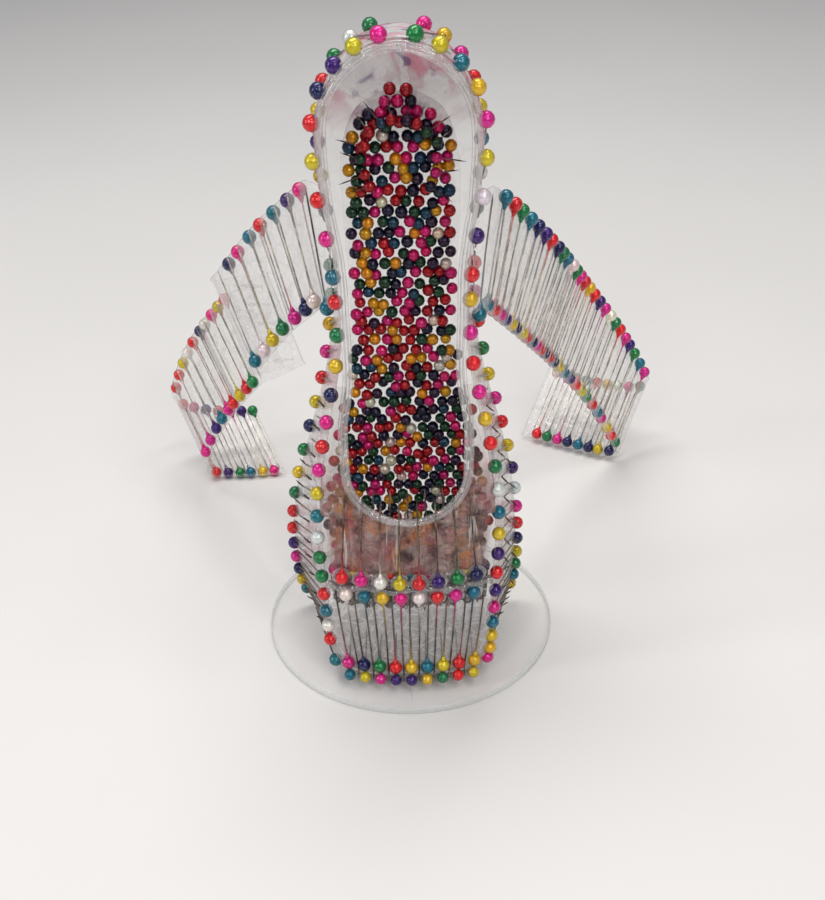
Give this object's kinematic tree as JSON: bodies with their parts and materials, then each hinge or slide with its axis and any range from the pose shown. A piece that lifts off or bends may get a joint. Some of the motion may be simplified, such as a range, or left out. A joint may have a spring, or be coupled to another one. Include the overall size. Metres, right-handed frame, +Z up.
{
  "type": "sculpture of a ballet pointe shoe in film and pins",
  "caption": "Ballet pointe shoe of clear film and coloured ball-headed pins, standing on its toe on a clear disc, with two folded film ribbons.",
  "frame": {"origin": "centre of the disc's underside", "axes": "+Z up from the disc to the heel, -Y out of the shoe's opening, +X to the right seen from the opening"},
  "size_m": [0.2402, 0.236, 0.2494],
  "materials": {
    "clear_acrylic": "polished clear acrylic",
    "clear_film": "glossy clear film, slightly smoky",
    "clear_binding": "glossy clear strip",
    "clear_glue": "clear set glue, lumpy",
    "pins": "pearly coloured ball heads on bright steel shafts",
    "pin_shafts": "bright nickel-plated steel wire"
  },
  "bodies": {
    "shoe": {"base_disc": "clear_acrylic", "toe_glue_pad": "clear_glue", "toe_platform": "clear_film", "left_toe_side": "clear_film", "right_toe_side": "clear_film", "left_quarter": "clear_film", "right_quarter": "clear_film", "heel_cup": "clear_film", "outsole_film": "clear_film", "insole_sheet": "clear_film", "vamp_lower_panel": "clear_film", "vamp_upper_panel": "clear_film", "left_vamp_wing": "clear_film", "right_vamp_wing": "clear_film", "opening_binding": "clear_binding", "vamp_seam_glue": "clear_glue", "toe_insole_pins": "pins", "ball_insole_pins": "pins", "waist_insole_pins": "pins", "heel_insole_pins": "pins", "heel_stray_pins": "pins", "heel_rim_pins": "pins", "heel_back_pins": "pins", "left_side_front_pins": "pins", "left_side_back_pins": "pins", "right_side_front_pins": "pins", "right_side_back_pins": "pins", "vamp_throat_pins": "pins", "vamp_inner_pins": "pins", "vamp_falling_pins": "pins", "vamp_rising_pins": "pins", "toe_tip_pins": "pins", "left_root_tab": "clear_film", "right_root_tab": "clear_film", "left_root_pin": "pins", "right_root_pin": "pins"},
    "left_ribbon_first": {"left_ribbon_first_film": "clear_film", "left_ribbon_first_top_pins": "pins", "left_ribbon_first_bottom_pins": "pins"},
    "left_ribbon_second": {"left_fold_film": "clear_film", "left_ribbon_second_film": "clear_film", "left_lap_glue": "clear_glue", "left_ribbon_second_top_pins": "pins", "left_ribbon_second_bottom_pins": "pins"},
    "left_tail": {"left_tail_film": "clear_film", "left_tail_top_pins": "pins", "left_tail_bottom_pins": "pins"},
    "right_ribbon": {"right_ribbon_film": "clear_film", "right_ribbon_top_pins": "pins", "right_ribbon_bottom_pins": "pins"},
    "right_tail": {"right_tail_film": "clear_film", "right_tail_top_pins": "pins", "right_tail_bottom_pins": "pins"}
  },
  "joints": [
    {"name": "left_root_bend", "type": "hinge", "parent": "shoe", "child": "left_ribbon_first", "pos_m": [-0.027, -0.013, 0.154], "axis": [-0.14, 0.34, 0.93], "range_deg": [-8, 10], "stiffness_Nm_per_rad": 0.8},
    {"name": "left_fold_bend", "type": "hinge", "parent": "left_ribbon_first", "child": "left_ribbon_second", "pos_m": [-0.06103, 0.03116, 0.10326], "axis": [-0.3591, 0.4575, 0.8135], "range_deg": [-12, 4], "stiffness_Nm_per_rad": 0.6},
    {"name": "left_tail_bend", "type": "hinge", "parent": "left_ribbon_second", "child": "left_tail", "pos_m": [-0.09919, 0.10756, 0.01106], "axis": [-0.399, 0.5241, 0.7524], "range_deg": [-20, 2], "stiffness_Nm_per_rad": 0.2},
    {"name": "right_root_bend", "type": "hinge", "parent": "shoe", "child": "right_ribbon", "pos_m": [0.027, -0.012, 0.15], "axis": [0.1203, 0.3409, 0.9324], "range_deg": [-10, 6], "stiffness_Nm_per_rad": 0.8},
    {"name": "right_tail_bend", "type": "hinge", "parent": "right_ribbon", "child": "right_tail", "pos_m": [0.10644, 0.12194, 0.00675], "axis": [0.4012, 0.5729, 0.7147], "range_deg": [-2, 20], "stiffness_Nm_per_rad": 0.2}
  ]
}
